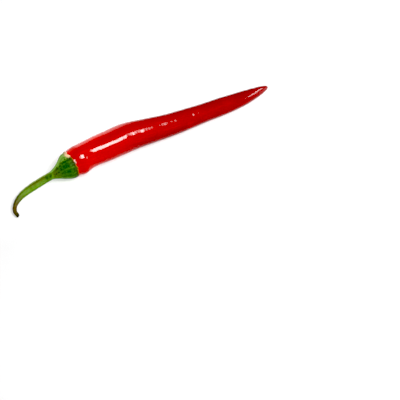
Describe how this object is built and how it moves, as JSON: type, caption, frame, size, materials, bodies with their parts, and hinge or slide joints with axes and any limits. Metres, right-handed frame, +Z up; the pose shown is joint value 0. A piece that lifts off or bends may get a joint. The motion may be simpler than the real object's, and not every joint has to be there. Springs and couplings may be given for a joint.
{
  "type": "chilli pepper",
  "caption": "Whole red chilli pepper lying on its side: a long tapering, gently bent fruit with a green calyx and a hooked, cut stem.",
  "frame": {"origin": "middle of the bounding box seen from above, on the surface that the chilli lies on", "axes": "+X along the chilli from the stem to the tip of the fruit, +Z up from the surface it lies on, +Y across it, away from the side that the stem hooks to"},
  "size_m": [0.1754, 0.0237, 0.0174],
  "materials": {
    "fruit_skin": "gloss",
    "calyx_skin": "satin",
    "stem_skin": "satin"
  },
  "bodies": {
    "root": {"fruit": "fruit_skin", "calyx": "calyx_skin", "stem": "stem_skin"}
  },
  "joints": []
}
